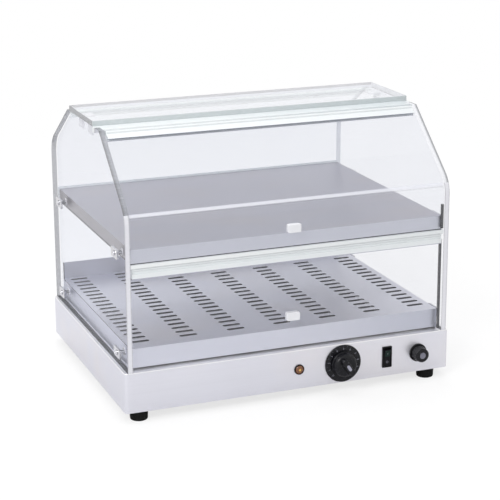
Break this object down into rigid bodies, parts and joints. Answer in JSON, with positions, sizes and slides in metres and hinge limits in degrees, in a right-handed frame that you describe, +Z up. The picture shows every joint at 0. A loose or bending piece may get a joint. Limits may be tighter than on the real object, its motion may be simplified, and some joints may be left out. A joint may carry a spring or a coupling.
{
  "type": "heated display case",
  "caption": "Two-tier countertop heated display case with clear bent panels, flip-up doors, slotted deck and controls on the base front.",
  "frame": {"origin": "on the table under the middle of the case, halfway between the front-most and rear-most points, feet standing on z = 0", "axes": "+X to the viewer's right when facing the controls, +Y from the doors to the back, +Z up"},
  "size_m": [0.5308, 0.451, 0.423],
  "materials": {
    "clear_acrylic": "clear gloss",
    "clear_rail": "translucent gloss",
    "steel_sheet": "satin",
    "bright_steel": "bright",
    "black_plastic": "satin black",
    "black_gloss": "gloss black",
    "amber_lens": "translucent amber",
    "rubber": "matte",
    "heater_sheath": "heat darkened",
    "aluminised_sheet": "dull",
    "ceramic": "unglazed",
    "brass": "plain",
    "copper_tube": "plain",
    "wire_sleeve": "matte"
  },
  "bodies": {
    "case": {"left_panel": "clear_acrylic", "right_panel": "clear_acrylic", "roof_glass": "clear_acrylic", "roof_angles": "clear_rail", "base_housing": "steel_sheet", "base_long_strips": "steel_sheet", "base_short_strips": "steel_sheet", "bottom_plate": "steel_sheet", "feet": "rubber", "foot_screws": "bright_steel", "foot_nuts": "bright_steel", "deck": "steel_sheet", "rear_upstand": "steel_sheet", "upper_shelf": "steel_sheet", "clamp_plates": "bright_steel", "clamp_bolts": "bright_steel", "clamp_washers": "clear_rail", "clamp_nuts": "bright_steel", "upper_rail": "clear_rail", "lower_rail": "clear_rail", "rear_sill": "clear_rail", "rear_mid_rail": "clear_rail", "rear_top_rail": "clear_rail", "rear_lower_pane": "clear_acrylic", "rear_upper_pane": "clear_acrylic", "lamp_bezel": "black_plastic", "lamp_lens": "amber_lens", "lamp_nut": "black_plastic", "thermostat_dial": "black_gloss", "thermostat_body": "ceramic", "switch_frame": "black_plastic", "switch_blades": "brass", "regulator_collar": "black_plastic", "regulator_body": "ceramic", "heat_tray": "aluminised_sheet", "heating_element": "heater_sheath", "heater_saddles": "aluminised_sheet", "heater_insulators": "ceramic", "heater_studs": "brass", "capillary": "copper_tube", "bulb_clip": "aluminised_sheet", "gland_body": "black_plastic", "gland_dome": "black_plastic", "gland_locknut": "black_plastic", "terminal_block": "ceramic", "wiring": "wire_sleeve"},
    "upper_door_set": {"upper_door": "clear_acrylic", "upper_grip": "clear_rail", "upper_pull": "clear_rail"},
    "lower_door_set": {"lower_door": "clear_acrylic", "lower_grip": "clear_rail", "lower_pull": "clear_rail"},
    "thermostat_set": {"thermostat_knob": "black_gloss", "thermostat_shaft": "bright_steel"},
    "regulator_set": {"regulator_knob": "black_gloss", "regulator_cap": "bright_steel", "regulator_shaft": "bright_steel"},
    "rocker_set": {"rocker": "black_gloss"}
  },
  "joints": [
    {"name": "upper_door_hinge", "type": "hinge", "parent": "case", "child": "upper_door_set", "pos_m": [0, -0.08436, 0.41121], "axis": [-1, 0, 0], "range_deg": [0, 105]},
    {"name": "lower_door_hinge", "type": "hinge", "parent": "case", "child": "lower_door_set", "pos_m": [0, -0.194, 0.232], "axis": [-1, 0, 0], "range_deg": [0, 95]},
    {"name": "thermostat_turn", "type": "hinge", "parent": "case", "child": "thermostat_set", "pos_m": [0.0835, -0.21, 0.046], "axis": [0, 1, 0], "range_deg": [0, 270]},
    {"name": "regulator_turn", "type": "hinge", "parent": "case", "child": "regulator_set", "pos_m": [0.212, -0.21, 0.046], "axis": [0, 1, 0], "range_deg": [0, 270]},
    {"name": "rocker_tilt", "type": "hinge", "parent": "case", "child": "rocker_set", "pos_m": [0.1585, -0.197, 0.046], "axis": [-1, 0, 0], "range_deg": [0, 16]}
  ]
}
